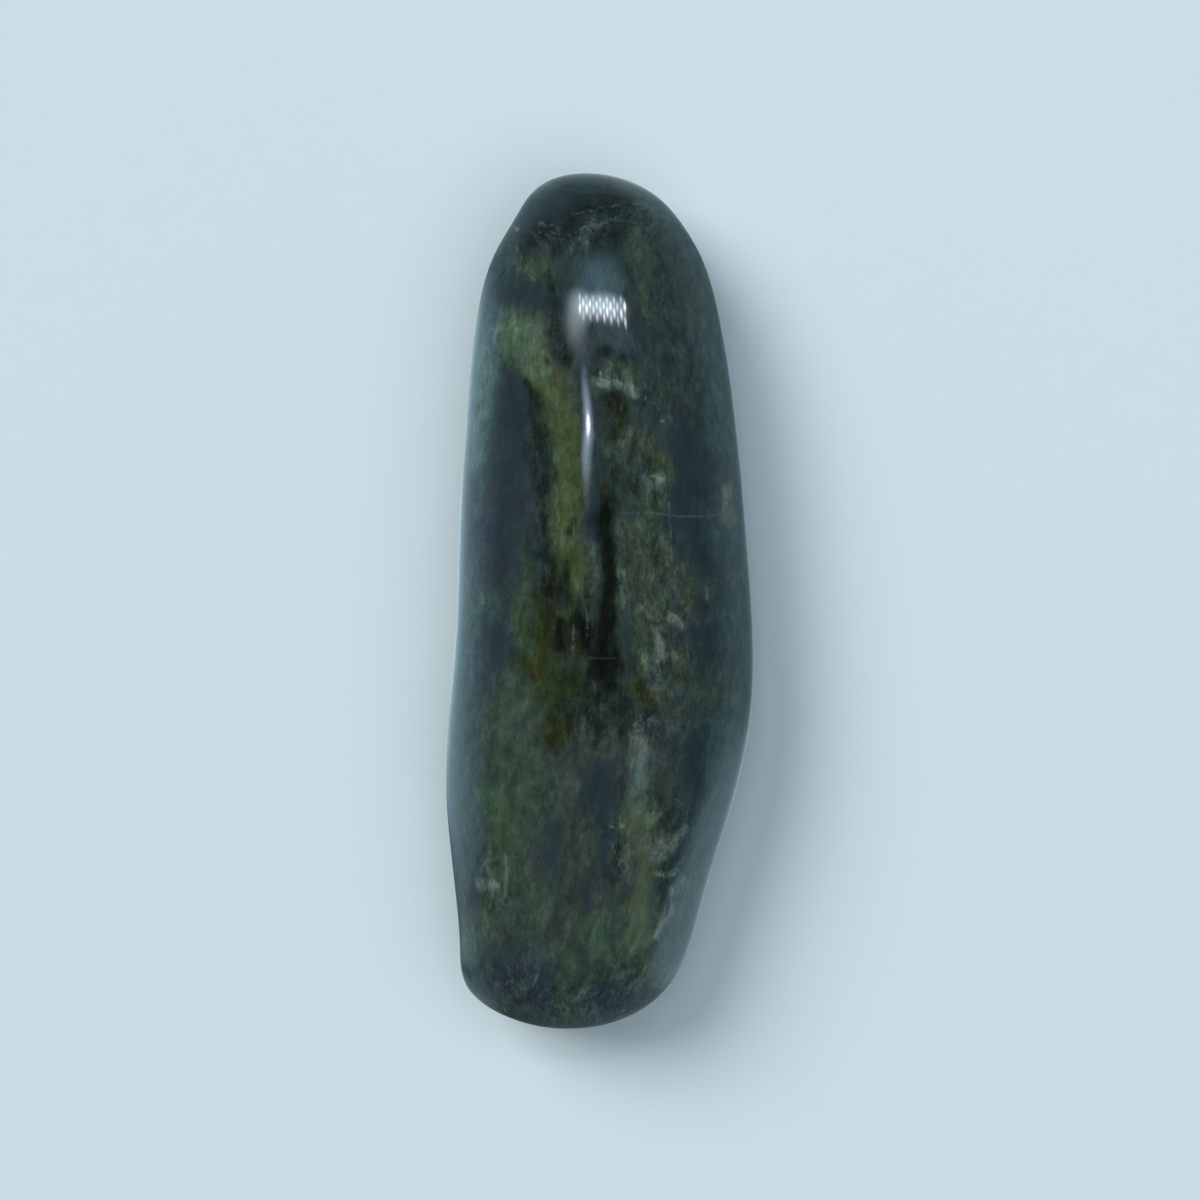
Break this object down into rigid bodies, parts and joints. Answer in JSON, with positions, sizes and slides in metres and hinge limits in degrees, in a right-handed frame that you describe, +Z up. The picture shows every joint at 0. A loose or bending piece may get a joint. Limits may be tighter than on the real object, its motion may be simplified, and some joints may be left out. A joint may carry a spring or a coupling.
{
  "type": "diopside pebble",
  "caption": "Long, tumble-polished pebble of dark green diopside with one blunt end, lying on a small worn flat.",
  "frame": {"origin": "on the surface that the pebble rests on, under the middle of its outline", "axes": "+Y along the pebble's length, towards its narrow end; +X to the right, seen from above with the narrow end away from the viewer; +Z up"},
  "size_m": [0.018, 0.05, 0.0102],
  "materials": {
    "diopside": "polished"
  },
  "bodies": {
    "root": {"stone": "diopside"}
  },
  "joints": []
}
